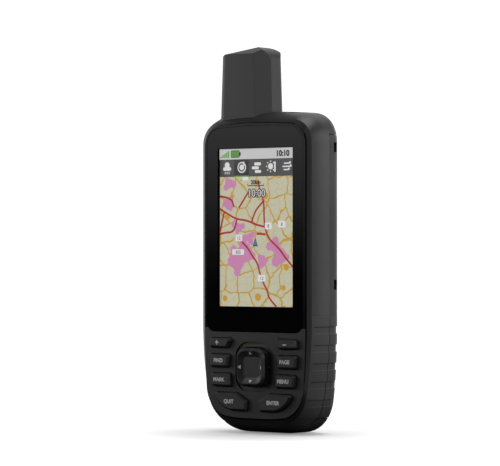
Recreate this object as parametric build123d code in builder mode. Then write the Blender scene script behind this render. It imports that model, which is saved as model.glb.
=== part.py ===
"""Handheld satellite navigation unit: a pocket receiver with a portrait display, a keypad with a
four-way rocker, a stub antenna, and two cells behind a full-width battery door.

Frame: +Z up, the display faces -Y, origin at the centre of the base flat, on the plane where the
battery door meets the case. Millimetres.
"""

import os
from math import sqrt

from build123d import *

os.makedirs("parts", exist_ok=True)

# ---------------------------------------------------------------- driving dimensions
FRONT_Y = -11.8  # plane of the front face
BEVEL_DEPTH = 1.5  # depth of the bevel round the front face
BEVEL_Y = FRONT_Y + BEVEL_DEPTH
CREST_Y = -1.5  # where the case reaches its widest section
BACK_Y = 16.0  # middle of the arched back
BACK_CORNER_Y = 6.2  # where the arched back would meet the side walls
BACK_ROUND = 7.0

CASE_HALF, CASE_TOP = 30.4, 133.0  # widest section
BEVEL_HALF, BEVEL_TOP, BEVEL_BOTTOM = 29.05, 129.75, 3.3  # outer edge of the bevel
FACE_HALF, FACE_TOP, FACE_BOTTOM = 26.9, 128.05, 6.2  # flat front face
TOP_ARC = 258.0  # radius of the bowed top edge
TAPER_START = 47.0  # the sides draw in below this height
CASE_TAPER, FACE_TAPER = 190.0, 420.0  # radii of that taper
FOOT_HALF = 9.0  # half width of the flat foot

LENS_HALF, LENS_TOP, LENS_BOTTOM = 25.5, 127.0, 41.8
VIEW_WIDTH, VIEW_HEIGHT, VIEW_Z = 39.2, 65.3, 85.1  # lit area of the display

PLATE_BACK = -9.6  # rear of the front plate
CAVITY_HALF, CAVITY_TOP, CAVITY_BOTTOM = 26.7, 127.0, 6.6
BOARD_FRONT, BOARD_BACK = -6.8, -5.8
FLOOR_FRONT, FLOOR_BACK = -3.2, -1.7  # floor of the battery bay
DOOR_LOW, DOOR_HIGH, DOOR_GAP = 6.4, 122.9, 0.3
DOOR_WALL = 1.8
GRIP_TOP, GRIP_THICK = 48.7, 0.95
GROOVE_TOP, GROOVE_PITCH, GROOVE_WIDTH, GROOVE_DEPTH = 44.4, 7.5, 3.0, 0.42

KEY_RISE, KEY_BEVEL, KEY_GAP, KEY_TRAVEL = 1.8, 0.8, 0.3, 0.7
ROCKER_WIDTH, ROCKER_HEIGHT, ROCKER_Z, ROCKER_RISE = 15.0, 15.7, 27.4, 3.2
ROCKER_PIVOT_Y = -10.2
WELL_WIDTH, WELL_HEIGHT, WELL_DEPTH = 20.2, 20.6, 0.6

POWER_X, POWER_Y, POWER_WIDTH, POWER_DEPTH = 13.0, -2.6, 8.6, 3.8

CELL_RADIUS, CELL_LENGTH, CELL_X, CELL_Y = 7.2, 50.0, 8.1, 5.9
CELL_BASE = 42.0
LATCH_Z, LATCH_RADIUS = 21.0, 6.0
SPINE_HALF, SPINE_LOW, SPINE_HIGH, SPINE_Y = 6.5, 58.0, 112.0, 20.4
USB_X, USB_Z = 6.0, 126.8


# ---------------------------------------------------------------- helpers
def save(built, label):
    """Name the part just built and write it out."""
    built.part.label = label
    export_step(built.part, f"parts/{label}.step")


def facing(y):
    """The drawing plane at depth y seen from the front: sketch x is X and sketch y is Z."""
    return Plane.XZ.offset(-y)


def block(xs, ys, zs, mode=Mode.ADD):
    """A box between the given limits, in the part being built."""
    with Locations(((xs[0] + xs[1]) / 2, (ys[0] + ys[1]) / 2, (zs[0] + zs[1]) / 2)):
        Box(xs[1] - xs[0], ys[1] - ys[0], zs[1] - zs[0], mode=mode)


def rod(radius, x, z, ys, mode=Mode.ADD):
    """A cylinder along Y between the depths ys."""
    with Locations(Location((x, (ys[0] + ys[1]) / 2, z), (90, 0, 0))):
        Cylinder(radius, ys[1] - ys[0], mode=mode)


def panel(width, height, z, radius, ys, x=0.0, mode=Mode.ADD):
    """A rounded rectangular plate facing the front, between the depths ys."""
    with BuildSketch(facing(ys[0])) as plate:
        with Locations((x, z)):
            RectangleRounded(width, height, radius)
    extrude(plate.sketch, amount=ys[0] - ys[1], mode=mode)


def case_outline(half, top, bottom, top_radius, bottom_radius, foot, taper=CASE_TAPER):
    """Front-view outline: a bowed top, sides that draw in towards the base, and a flat foot."""
    shoulder = top - half**2 / (2 * TOP_ARC)
    drop = TAPER_START - bottom
    corner_x = half - drop**2 / (2 * taper)
    belly_x = half - (drop / 2) ** 2 / (2 * taper)
    corner_z = bottom + (corner_x - foot) ** 2 / 120
    half_x = (corner_x + foot) / 2
    half_z = bottom + (half_x - foot) ** 2 / 120
    belly_z = TAPER_START - drop / 2
    with BuildSketch() as outline:
        with BuildLine():
            ThreePointArc((-half, shoulder), (0, top), (half, shoulder))
            Line((half, shoulder), (half, TAPER_START))
            ThreePointArc((half, TAPER_START), (belly_x, belly_z), (corner_x, corner_z))
            ThreePointArc((corner_x, corner_z), (half_x, half_z), (foot, bottom))
            Line((foot, bottom), (-foot, bottom))
            ThreePointArc((-foot, bottom), (-half_x, half_z), (-corner_x, corner_z))
            ThreePointArc((-corner_x, corner_z), (-belly_x, belly_z), (-half, TAPER_START))
            Line((-half, TAPER_START), (-half, shoulder))
        make_face()
        fillet([v for v in outline.vertices() if v.Y > TAPER_START + 1], top_radius)
        fillet([v for v in outline.vertices() if abs(abs(v.X) - corner_x) < 0.01], bottom_radius)
    return outline.sketch


def fall(rise, y):
    """How far the crowned wall has fallen at depth y, when it falls by rise at the bevel."""
    run = CREST_Y - BEVEL_Y
    radius = (run**2 + rise**2) / (2 * rise)
    return radius - sqrt(radius**2 - (CREST_Y - y) ** 2)


def case_section(y, inset):
    """The case's outline at depth y, drawn in by inset."""
    side = fall(CASE_HALF - BEVEL_HALF, y) + inset
    top = fall(CASE_TOP - BEVEL_TOP, y) + inset
    bottom = fall(BEVEL_BOTTOM, y) + inset
    return case_outline(
        CASE_HALF - side, CASE_TOP - top, bottom, 12.5 - top, 17.0 - 0.5 * bottom, FOOT_HALF - inset
    )


def front_envelope(inset):
    """The crowned front half of the case as a solid, from the bevel back to the door plane."""
    with BuildPart() as envelope:
        for n in range(4):
            with BuildSketch(facing(BEVEL_Y + (CREST_Y - BEVEL_Y) * n / 3)):
                add(case_section(BEVEL_Y + (CREST_Y - BEVEL_Y) * n / 3, inset))
        loft()
        with BuildSketch(facing(CREST_Y)):
            add(case_section(CREST_Y, inset))
        extrude(amount=CREST_Y)
    return envelope.part


def back_envelope(inset):
    """The arched rear half of the case as a solid, from the door plane back."""
    sagitta = BACK_Y - BACK_CORNER_Y
    arch = (CASE_HALF**2 + sagitta**2) / (2 * sagitta)
    with BuildPart() as envelope:
        with BuildSketch(facing(0)):
            add(case_section(CREST_Y, inset))
        extrude(amount=-25)
        with BuildSketch(Plane.XY.offset(-5)):
            with Locations((0, BACK_Y - arch)):
                Circle(arch - inset)
        extrude(amount=150, mode=Mode.INTERSECT)
        rim = [e for e in envelope.edges() if min(v.Y for v in e.vertices()) > BACK_CORNER_Y - 3]
        fillet(rim, BACK_ROUND - inset)
    return envelope.part


front_solid = front_envelope(0)
front_core = front_envelope(GRIP_THICK)
front_groove = front_envelope(GROOVE_DEPTH)
back_solid = back_envelope(0)
back_core = back_envelope(GRIP_THICK)
back_groove = back_envelope(GROOVE_DEPTH)
back_inner = back_envelope(DOOR_WALL)


def grooves(solid, skin, ys):
    """The thin shell between solid and its drawn-in skin, in a ladder of bands down both sides."""
    with BuildPart() as ladder:
        for n in range(6):
            top = GROOVE_TOP - GROOVE_PITCH * n
            block((-40, 40), ys, (top - GROOVE_WIDTH, top))
        block((-13, 13), (-40, 40), (-1, 20), mode=Mode.SUBTRACT)
    return (solid & ladder.part) - skin


def lens_outline(grow):
    """The lens outline grown by grow: straight sides and foot under a shallow arched top."""
    half = LENS_HALF + grow
    low = LENS_BOTTOM - grow
    high = LENS_TOP + grow
    side = high - half**2 / 440
    with BuildSketch() as outline:
        with BuildLine():
            ThreePointArc((-half, side), (0, high), (half, side))
            Polyline((half, side), (half, low), (-half, low), (-half, side))
        make_face()
        fillet([v for v in outline.vertices() if v.Y > 100], 6.5)
        fillet([v for v in outline.vertices() if v.Y < 50], 4.0)
    return outline.sketch


# ---------------------------------------------------------------- front housing and its grip
front_grip = (front_solid & (Pos(0, 0, GRIP_TOP / 2) * Box(80, 80, GRIP_TOP))) - front_core
front_ladder = grooves(front_solid, front_groove, (BEVEL_Y + 0.6, 1))
with BuildPart() as front_housing:
    add(front_solid)
    with BuildSketch(facing(FRONT_Y)):
        add(case_outline(FACE_HALF, FACE_TOP, FACE_BOTTOM, 8.5, 12.5, 6.5, FACE_TAPER))
    with BuildSketch(facing(BEVEL_Y)):
        add(case_section(BEVEL_Y, 0))
    loft()
    # the space behind the plate, deeper at the foot where the case is fuller
    with BuildSketch(facing(PLATE_BACK)):
        add(case_outline(CAVITY_HALF, CAVITY_TOP, CAVITY_BOTTOM, 8, 12, 5))
    extrude(amount=PLATE_BACK - 1, mode=Mode.SUBTRACT)
    with BuildSketch(facing(-5)):
        add(case_outline(CAVITY_HALF, CAVITY_TOP, 3.2, 8, 10, 5))
    extrude(amount=-6, mode=Mode.SUBTRACT)
    # the lens pocket and the window behind it
    with BuildSketch(facing(FRONT_Y)):
        add(lens_outline(0.15))
    extrude(amount=-1.0, mode=Mode.SUBTRACT)
    panel(43, 69, VIEW_Z, 1.5, (FRONT_Y, PLATE_BACK + 0.5), mode=Mode.SUBTRACT)
    # the recess round the rocker and the opening through it, with a bearing block each side
    panel(WELL_WIDTH, WELL_HEIGHT, ROCKER_Z, 6.5, (FRONT_Y, FRONT_Y + WELL_DEPTH), mode=Mode.SUBTRACT)
    for side in (-1, 1):
        block(
            sorted((side * 8.0, side * 10.4)),
            (PLATE_BACK - 0.5, PLATE_BACK + 0.9),
            (ROCKER_Z - 2, ROCKER_Z + 2),
        )
    panel(15.8, 16.5, ROCKER_Z, 4.6, (FRONT_Y, PLATE_BACK + 1), mode=Mode.SUBTRACT)
    with Locations(Location((0, ROCKER_PIVOT_Y, ROCKER_Z), (0, 90, 0))):
        Cylinder(0.75, 19.6, mode=Mode.SUBTRACT)
    # the power key's opening, with a scoop in the top of the case round it
    with BuildSketch(Plane.XY.offset(129.6)):
        with Locations((POWER_X, POWER_Y)):
            RectangleRounded(POWER_WIDTH + 0.6, POWER_DEPTH + 0.5, 2.0)
    extrude(amount=10, mode=Mode.SUBTRACT)
    block((POWER_X - 2.3, POWER_X + 2.3), (-4.8, -3.2), (120, 131), mode=Mode.SUBTRACT)
    # the rubber grip is let into the sides and the foot
    add(front_grip, mode=Mode.SUBTRACT)

with BuildPart() as grip_front:
    add(front_grip)
    add(front_ladder, mode=Mode.SUBTRACT)


# ---------------------------------------------------------------- keys
def mirrored(points, side):
    """The outline on the right (side 1) or its mirror image on the left (side -1)."""
    return [(side * x, z) for x, z in points]


ZOOM = [(11.2, 39.2), (23.0, 39.0), (23.4, 35.2), (13.9, 35.0)]
UPPER = [(12.5, 32.4), (23.4, 32.5), (22.8, 27.0), (13.4, 27.0)]
LOWER = [(12.3, 24.6), (22.6, 24.4), (21.8, 19.1), (12.0, 19.0)]


def key_face(shape, side, grow=0.0):
    """A key's outline: four straight sides, or the swept shape of the two lowest keys."""
    with BuildSketch() as face:
        if shape is None:
            with BuildLine():
                Polyline((side * 3.6, 9.1), (side * 3.0, 13.6), (side * 8.9, 16.6), (side * 20.7, 16.5))
                ThreePointArc((side * 20.7, 16.5), (side * 16.6, 11.1), (side * 9.5, 9.2))
                Line((side * 9.5, 9.2), (side * 3.6, 9.1))
            make_face()
        else:
            Polygon(*mirrored(shape, side), align=None)
        fillet(face.vertices(), 0.9)
        if grow:
            offset(amount=grow)
    return face.sketch


def key_solid(shape, side, x, z, label):
    """A key: a bevelled cap, a flange behind the plate that keeps it in, and a stem."""
    with BuildPart() as key:
        with BuildSketch(facing(FRONT_Y - KEY_RISE)):
            add(key_face(shape, side))
        extrude(amount=-(PLATE_BACK + 0.3 - FRONT_Y + KEY_RISE))
        chamfer(key.faces().sort_by(Axis.Y)[0].edges(), KEY_BEVEL)
        with BuildSketch(facing(PLATE_BACK + 0.3)):
            add(key_face(shape, side, 0.6))
        extrude(amount=-0.4)
        rod(1.6, side * x, z, (PLATE_BACK + 0.5, PLATE_BACK + 0.8))
    key.part.label = label
    return key.part


KEYS = [
    ("key_zoom_in", ZOOM, -1, 18.2, 37.1),
    ("key_zoom_out", ZOOM, 1, 18.2, 37.1),
    ("key_find", UPPER, -1, 18.5, 29.8),
    ("key_page", UPPER, 1, 18.5, 29.8),
    ("key_mark", LOWER, -1, 17.4, 21.8),
    ("key_menu", LOWER, 1, 17.4, 21.8),
    ("key_quit", None, -1, 11.0, 13.1),
    ("key_enter", None, 1, 11.0, 13.1),
]
with BuildPart() as key_wells:
    for _, shape, side, _, _ in KEYS:
        with BuildSketch(facing(FRONT_Y - 1)):
            add(key_face(shape, side, KEY_GAP))
        extrude(amount=-4)
front_housing.part = front_housing.part - key_wells.part
save(front_housing, "front_housing")
save(grip_front, "grip_front")
for label, shape, side, x, z in KEYS:
    export_step(key_solid(shape, side, x, z, label), f"parts/{label}.step")

# the rocker: a pad with a square dish, on a small gimbal core
with BuildPart() as rocker_pad:
    panel(ROCKER_WIDTH, ROCKER_HEIGHT, ROCKER_Z, 4.2, (FRONT_Y - ROCKER_RISE, FRONT_Y + 0.8))
    chamfer(rocker_pad.faces().sort_by(Axis.Y)[0].edges(), 0.9)
    with BuildSketch(facing(FRONT_Y - ROCKER_RISE)):
        with Locations((0, ROCKER_Z)):
            RectangleRounded(12.8, 13.3, 3.6)
    with BuildSketch(facing(FRONT_Y - ROCKER_RISE + 1.2)):
        with Locations((0, ROCKER_Z)):
            RectangleRounded(8.6, 8.6, 1.2)
    loft(mode=Mode.SUBTRACT)
    panel(ROCKER_WIDTH - 2.6, ROCKER_HEIGHT - 2.6, ROCKER_Z, 3, (FRONT_Y - 0.5, -5), mode=Mode.SUBTRACT)
    for side in (-1, 1):
        ear = sorted((ROCKER_Z + side * 4.6, ROCKER_Z + side * 6.2))
        block((-1.6, 1.6), (FRONT_Y - 0.6, ROCKER_PIVOT_Y + 1.2), ear)
    with Locations((0, ROCKER_PIVOT_Y, ROCKER_Z)):
        Cylinder(0.75, 11.6, mode=Mode.SUBTRACT)
    block((-9, 9), (-11.9, -8), (ROCKER_Z - 1.3, ROCKER_Z + 1.3), mode=Mode.SUBTRACT)
save(rocker_pad, "rocker_pad")

with BuildPart() as rocker_core:
    block((-3.2, 3.2), (ROCKER_PIVOT_Y - 0.9, ROCKER_PIVOT_Y + 0.9), (ROCKER_Z - 3.2, ROCKER_Z + 3.2))
    with Locations(Location((0, ROCKER_PIVOT_Y, ROCKER_Z), (0, 90, 0))):
        Cylinder(0.7, 18.8)
    with Locations((0, ROCKER_PIVOT_Y, ROCKER_Z)):
        Cylinder(0.7, 11.2)
save(rocker_core, "rocker_core")

with BuildPart() as power_key:
    with BuildSketch(Plane.XY.offset(130.2)):
        with Locations((POWER_X, POWER_Y)):
            RectangleRounded(POWER_WIDTH, POWER_DEPTH, 1.8)
    extrude(amount=2.0)
    fillet(power_key.faces().sort_by(Axis.Z)[-1].edges(), 0.5)
    block((POWER_X - 2, POWER_X + 2), (-4.4, -3.5), (125.3, 130.4))
    block((POWER_X - 3, POWER_X + 3), (-5.3, -3.5), (125.3, 126.1))
save(power_key, "power_key")


# ---------------------------------------------------------------- display stack
with BuildPart() as display_lens:
    with BuildSketch(facing(FRONT_Y + 0.05)):
        add(lens_outline(0))
    extrude(amount=-0.8)
save(display_lens, "display_lens")

with BuildPart() as lens_gasket:
    with BuildSketch(facing(FRONT_Y + 0.85)):
        add(lens_outline(-0.4))
        with Locations((0, VIEW_Z)):
            RectangleRounded(44, 70, 1.5, mode=Mode.SUBTRACT)
    extrude(amount=-0.15)
save(lens_gasket, "lens_gasket")

with BuildPart() as lcd_panel:
    panel(42.4, 68.4, VIEW_Z, 0.6, (-10.55, -9.4))
save(lcd_panel, "lcd_panel")

with BuildPart() as backlight:
    panel(42.0, 68.0, VIEW_Z, 0.6, (-9.35, -8.3))
save(backlight, "backlight")

with BuildPart() as display_carrier:
    panel(48, 74, VIEW_Z, 2, (-9.1, -7.2))
    panel(42.6, 68.8, VIEW_Z, 0.8, (-9.2, -8.2), mode=Mode.SUBTRACT)
    panel(36, 60, VIEW_Z, 2, (-9.2, -7), mode=Mode.SUBTRACT)
    for x in (-22.4, 22.4):
        for z in (VIEW_Z - 35.4, VIEW_Z + 35.4):
            rod(0.9, x, z, (-7.3, BOARD_FRONT))
save(display_carrier, "display_carrier")

with BuildPart() as display_ribbon:
    block((-8, 8), (-9.55, -9.45), (45.2, 49.4))
    block((-8, 8), (-9.55, -7.1), (45.1, 45.2))
    block((-8, 8), (-7.1, -7.0), (43, 45.2))
save(display_ribbon, "display_ribbon")

# ---------------------------------------------------------------- keypad mat, board and its parts
STEMS = [(side * x, z) for _, _, side, x, z in KEYS]
ROCKER_SWITCHES = [(-5, ROCKER_Z), (5, ROCKER_Z), (0, ROCKER_Z - 5.6), (0, ROCKER_Z + 5.6)]
with BuildPart() as keypad_mat:
    with BuildSketch(facing(-7.8)):
        add(case_outline(25.6, 62, 8.2, 4, 8, 5))
        with Locations((0, 52)):
            Rectangle(60, 20, mode=Mode.SUBTRACT)
    extrude(amount=-0.3)
    for x, z in STEMS:
        rod(1.2, x, z, (-7.6, -7.3))
save(keypad_mat, "keypad_mat")

with BuildPart() as switch_domes:
    for x, z in STEMS:
        rod(2.1, x, z, (-7.2, BOARD_FRONT))
    for x, z in ROCKER_SWITCHES:
        rod(1.5, x, z, (-7.2, BOARD_FRONT))
save(switch_domes, "switch_domes")

BOARD_SCREWS = [(side * 22.6, z) for side in (-1, 1) for z in (45.2, 84.0)]
with BuildPart() as main_board:
    with BuildSketch(facing(BOARD_FRONT)):
        add(case_outline(25.8, 124, 8.0, 5, 8, 5))
        with Locations(*BOARD_SCREWS):
            Circle(1.1, mode=Mode.SUBTRACT)
    extrude(amount=-(BOARD_BACK - BOARD_FRONT))
save(main_board, "main_board")

with BuildPart() as shield_cans:
    for x, z, width, height in ((-8, 104, 28, 22), (3, 74, 31, 24), (-12, 30, 22, 16)):
        panel(width, height, z, 0.8, (BOARD_BACK, -4.2), x=x)
        panel(width - 0.6, height - 0.6, z, 0.6, (BOARD_BACK - 0.1, -4.5), x=x, mode=Mode.SUBTRACT)
save(shield_cans, "shield_cans")

with BuildPart() as chips:
    for x, z, size in ((-8, 104, 9), (-1, 74, 11), (13, 74, 8), (-12, 30, 8)):
        block((x - size / 2, x + size / 2), (BOARD_BACK, -4.9), (z - size / 2, z + size / 2))
save(chips, "chips")

with BuildPart() as buzzer:
    rod(4.2, 14, 30, (BOARD_BACK, -3.8))
    rod(0.7, 14, 30, (-4.2, -3.5), mode=Mode.SUBTRACT)
save(buzzer, "buzzer")

with BuildPart() as power_switch:
    block((POWER_X - 2.8, POWER_X + 2.8), (BOARD_BACK, -3.6), (117, 122.6))
    block((POWER_X - 1.2, POWER_X + 1.2), (-5, -3.8), (122.6, 124.2))
save(power_switch, "power_switch")

with BuildPart() as board_screws:
    for x, z in BOARD_SCREWS:
        rod(1.9, x, z, (BOARD_BACK, -4.9))
        rod(1.0, x, z, (-7.2, BOARD_BACK))
        block((x - 1.3, x + 1.3), (-5.2, -4.8), (z - 0.2, z + 0.2), mode=Mode.SUBTRACT)
save(board_screws, "board_screws")

# ---------------------------------------------------------------- back frame with the battery bay
CELL_TOP = CELL_BASE + CELL_LENGTH
BAY_MIDDLE = CELL_BASE + CELL_LENGTH / 2
BAY_WIDTH, BAY_HEIGHT = 48.8, 66.0
SHOULDER = Pos(0, 0, DOOR_HIGH + DOOR_GAP + 20) * Box(80, 80, 40)
SILL = Pos(0, 0, DOOR_LOW - DOOR_GAP - 20) * Box(80, 80, 40)


def bay_ring(grow=0.0):
    """The outline of the wall round the battery bay, 1.4 thick."""
    with BuildSketch() as ring:
        with Locations((0, BAY_MIDDLE)):
            RectangleRounded(BAY_WIDTH + 2 * grow, BAY_HEIGHT + 2 * grow, 5)
            RectangleRounded(BAY_WIDTH - 2.8, BAY_HEIGHT - 2.8, 3.6, mode=Mode.SUBTRACT)
    return ring.sketch


FRAME_SCREWS = [(side * 22.4, z) for side in (-1, 1) for z in (27, 108)]
with BuildPart() as back_frame:
    with BuildSketch(facing(FLOOR_FRONT)):
        add(case_outline(CAVITY_HALF - 0.2, CAVITY_TOP - 0.2, 3.4, 8, 10, 5))
    extrude(amount=-(FLOOR_BACK - FLOOR_FRONT))
    add(back_solid & SHOULDER)
    add(back_solid & SILL)
    block((-20, 20), (-2.5, 2), (DOOR_HIGH + DOOR_GAP, 126.4))
    block((-12, 12), (-2.5, 2), (3.6, DOOR_LOW - DOOR_GAP))
    with BuildSketch(facing(FLOOR_BACK - 0.1)):
        add(bay_ring())
    extrude(amount=-4.6)
    # end walls that hold the contacts, and a low rib between the cells
    block((-16.6, 16.6), (FLOOR_BACK - 0.1, 10.5), (CELL_BASE - 4.1, CELL_BASE - 2.6))
    block((-16.6, 16.6), (FLOOR_BACK - 0.1, 10.5), (CELL_TOP + 2.6, CELL_TOP + 4.1))
    block((-0.5, 0.5), (FLOOR_BACK - 0.1, 1.5), (CELL_BASE + 4, CELL_TOP - 4))
    for x, z in FRAME_SCREWS:
        rod(2.6, x, z, (FLOOR_BACK - 0.1, 0.6))
        rod(1.05, x, z, (FLOOR_FRONT - 1, 2), mode=Mode.SUBTRACT)
    # the port bay, its flap's hinge holes, the lamp bore and the light well behind it
    block((USB_X - 6.9, USB_X + 6.9), (10.8, 30), (USB_Z - 2.9, USB_Z + 2.9), mode=Mode.SUBTRACT)
    block((USB_X - 3.9, USB_X + 3.9), (5.6, 30), (USB_Z - 1.6, USB_Z + 1.6), mode=Mode.SUBTRACT)
    with Locations((USB_X - 5.4, 12.0, USB_Z)):
        Cylinder(0.55, 7.6, mode=Mode.SUBTRACT)
    rod(2.9, -13, USB_Z, (8.6, 30), mode=Mode.SUBTRACT)
save(back_frame, "back_frame")

with BuildPart() as door_seal:
    with BuildSketch(facing(2.8)):
        add(bay_ring())
    extrude(amount=-0.8)
save(door_seal, "door_seal")

with BuildPart() as frame_screws:
    for x, z in FRAME_SCREWS:
        rod(1.9, x, z, (0.6, 1.6))
        rod(1.0, x, z, (-3.1, 0.6))
        block((x - 1.3, x + 1.3), (1.3, 1.8), (z - 0.2, z + 0.2), mode=Mode.SUBTRACT)
save(frame_screws, "frame_screws")

# ---------------------------------------------------------------- battery door
door_zone = Pos(0, 20.15, (DOOR_LOW + DOOR_HIGH) / 2) * Box(80, 40, DOOR_HIGH - DOOR_LOW)
door_shell = (back_solid - back_inner) & door_zone
door_low_web = back_solid & door_zone & (Pos(0, 12.6, DOOR_LOW + 0.7) * Box(80, 24, 1.4))
door_high_web = back_solid & door_zone & (Pos(0, 12.6, DOOR_HIGH - 0.7) * Box(80, 24, 1.4))
door_grip = (back_solid & (Pos(0, 4.6, (DOOR_LOW + GRIP_TOP) / 2) * Box(80, 8.9, GRIP_TOP - DOOR_LOW))) - back_core
door_ladder = grooves(back_solid, back_groove, (-1, 12))
with BuildPart() as rib_column:
    with BuildSketch(facing(4.0)):
        add(bay_ring())
    extrude(amount=-20)
door_rib = rib_column.part & back_solid

with BuildPart() as battery_door:
    add(door_shell)
    add(door_low_web)
    add(door_high_web)
    add(door_rib)
    rod(8.4, 0, LATCH_Z, (11.6, 15))
    rod(4.3, 0, LATCH_Z, (5, 30), mode=Mode.SUBTRACT)
    add(door_grip, mode=Mode.SUBTRACT)
    # two notches in each side of the door, for a fingernail
    for z in (117.8, 61.4):
        block((28.9, 32), (2.6, 5.0), (z - 2.0, z + 2.0), mode=Mode.SUBTRACT)
        block((-32, -28.9), (2.6, 5.0), (z - 2.0, z + 2.0), mode=Mode.SUBTRACT)
save(battery_door, "battery_door")

with BuildPart() as grip_door:
    add(door_grip)
    add(door_ladder, mode=Mode.SUBTRACT)
save(grip_door, "grip_door")

with BuildPart() as mount_spine:
    block((-4.2, 4.2), (14, 18.8), (SPINE_LOW, SPINE_HIGH))
    block((-SPINE_HALF, SPINE_HALF), (18.4, SPINE_Y), (SPINE_LOW, SPINE_HIGH))
    chamfer(mount_spine.faces().sort_by(Axis.Y)[-1].edges(), 0.5)
    for z in (SPINE_LOW + 9, SPINE_HIGH - 9):
        rod(2.1, 0, z, (SPINE_Y - 1.4, 30), mode=Mode.SUBTRACT)
    block((-10, 10), (19.6, 30), (84, 88), mode=Mode.SUBTRACT)
    add(back_solid, mode=Mode.SUBTRACT)
save(mount_spine, "mount_spine")

with BuildPart() as spine_screws:
    for z in (SPINE_LOW + 9, SPINE_HIGH - 9):
        rod(2.0, 0, z, (SPINE_Y - 1.4, SPINE_Y - 0.5))
        block((-1.4, 1.4), (SPINE_Y - 0.9, SPINE_Y), (z - 0.25, z + 0.25), mode=Mode.SUBTRACT)
save(spine_screws, "spine_screws")

# the turning latch with its folding ring
with BuildPart() as latch_core:
    rod(4.0, 0, LATCH_Z, (9.8, 17))
    rod(7.4, 0, LATCH_Z, (16.4, 18.0))
    chamfer(latch_core.faces().sort_by(Axis.Y)[-1].edges(), 0.5)
    for side in (-1, 1):
        block(sorted((side * 5.0, side * 6.2)), (17.4, 20.4), (LATCH_Z - 1.4, LATCH_Z + 1.4))
    with Locations(Location((0, 19.4, LATCH_Z), (0, 90, 0))):
        Cylinder(0.85, 20, mode=Mode.SUBTRACT)
    rod(1.6, 0, LATCH_Z, (9, 11), mode=Mode.SUBTRACT)
save(latch_core, "latch_core")

with BuildPart() as latch_cam:
    rod(5.6, 0, LATCH_Z, (9.7, 11.2))
    block((-2.6, 2.6), (9.7, 11.2), (LATCH_Z - 11, LATCH_Z))
    rod(4.0, 0, LATCH_Z, (9, 12), mode=Mode.SUBTRACT)
save(latch_cam, "latch_cam")

with BuildPart() as latch_screw:
    rod(1.6, 0, LATCH_Z, (9.0, 11.0))
    rod(2.8, 0, LATCH_Z, (8.8, 9.8))
    block((-1.8, 1.8), (8.6, 9.2), (LATCH_Z - 0.3, LATCH_Z + 0.3), mode=Mode.SUBTRACT)
save(latch_screw, "latch_screw")

with BuildPart() as latch_ring:
    for side in (-1, 1):
        block(sorted((side * 2.8, side * 4.6)), (18.5, 20.3), (LATCH_Z - 9.5, LATCH_Z))
    block((-4.6, 4.6), (18.5, 20.3), (LATCH_Z - 11.0, LATCH_Z - 9.2))
    fillet(latch_ring.edges().filter_by(Axis.Y).sort_by(Axis.Z)[:2], 1.5)
    with Locations(Location((0, 19.4, LATCH_Z), (0, 90, 0))):
        Cylinder(0.9, 9.2)
        Cylinder(0.8, 12.4)
save(latch_ring, "latch_ring")

# ---------------------------------------------------------------- cells and contacts
for label, side in (("cell_left", -1), ("cell_right", 1)):
    with BuildPart() as cell:
        with Locations((side * CELL_X, CELL_Y, BAY_MIDDLE)):
            Cylinder(CELL_RADIUS, CELL_LENGTH - 2)
        fillet(cell.edges().filter_by(GeomType.CIRCLE), 0.7)
    save(cell, label)

with BuildPart() as cell_ends:
    for side in (-1, 1):
        with Locations((side * CELL_X, CELL_Y, BAY_MIDDLE - side * (CELL_LENGTH / 2 - 0.4))):
            Cylinder(2.7, 1.2)
        with Locations((side * CELL_X, CELL_Y, BAY_MIDDLE + side * (CELL_LENGTH / 2 - 0.9))):
            Cylinder(5.6, 0.2)
save(cell_ends, "cell_ends")

with BuildPart() as contact_plates:
    for side in (-1, 1):
        for z in (CELL_BASE - 2.45, CELL_TOP + 2.45):
            with Locations((side * CELL_X, 4.0, z)):
                Box(9.6, 9.6, 0.3)
        with Locations((side * CELL_X, CELL_Y, BAY_MIDDLE - side * (CELL_LENGTH / 2 + 1.3))):
            Cylinder(2.2, 2.0)
save(contact_plates, "contact_plates")

with BuildPart() as contact_springs:
    for side in (-1, 1):
        start = CELL_BASE - 2.1 if side < 0 else CELL_TOP - 0.6
        with Locations((side * CELL_X, CELL_Y, start)):
            with BuildLine(mode=Mode.PRIVATE) as coil:
                Helix(pitch=0.9, height=2.5, radius=3.4, center=(side * CELL_X, CELL_Y, start))
        with BuildSketch(Plane(origin=coil.line @ 0, z_dir=coil.line % 0)):
            Circle(0.22)
        sweep(path=coil.line)
save(contact_springs, "contact_springs")

with BuildPart() as card_socket:
    block((-8, 8), (FLOOR_BACK, -0.1), (104, 118))
    block((-6, 6), (-1.2, -0.5), (103, 116.5), mode=Mode.SUBTRACT)
save(card_socket, "card_socket")
with BuildPart() as memory_card:
    block((-5.5, 5.5), (-1.15, -0.55), (102.6, 116.3))
save(memory_card, "memory_card")

# ---------------------------------------------------------------- port, flap and lamp
with BuildPart() as usb_socket:
    block((USB_X - 3.8, USB_X + 3.8), (5.6, 10.6), (USB_Z - 1.5, USB_Z + 1.5))
    block((USB_X - 3.4, USB_X + 3.4), (6.6, 11), (USB_Z - 1.1, USB_Z + 1.1), mode=Mode.SUBTRACT)
    block((USB_X - 2.4, USB_X + 2.4), (6.4, 10.2), (USB_Z - 0.4, USB_Z + 0.4))
save(usb_socket, "usb_socket")

with BuildPart() as usb_cap:
    block((USB_X - 5.4, USB_X + 6.4), (11.2, 12.7), (USB_Z - 2.5, USB_Z + 2.5))
    with Locations((USB_X - 5.4, 12.0, USB_Z)):
        Cylinder(0.8, 5.0)
        Cylinder(0.5, 7.2)
    block((USB_X + 4.6, USB_X + 6.2), (12.6, 13.3), (USB_Z - 1.6, USB_Z + 1.6))
save(usb_cap, "usb_cap")

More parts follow.
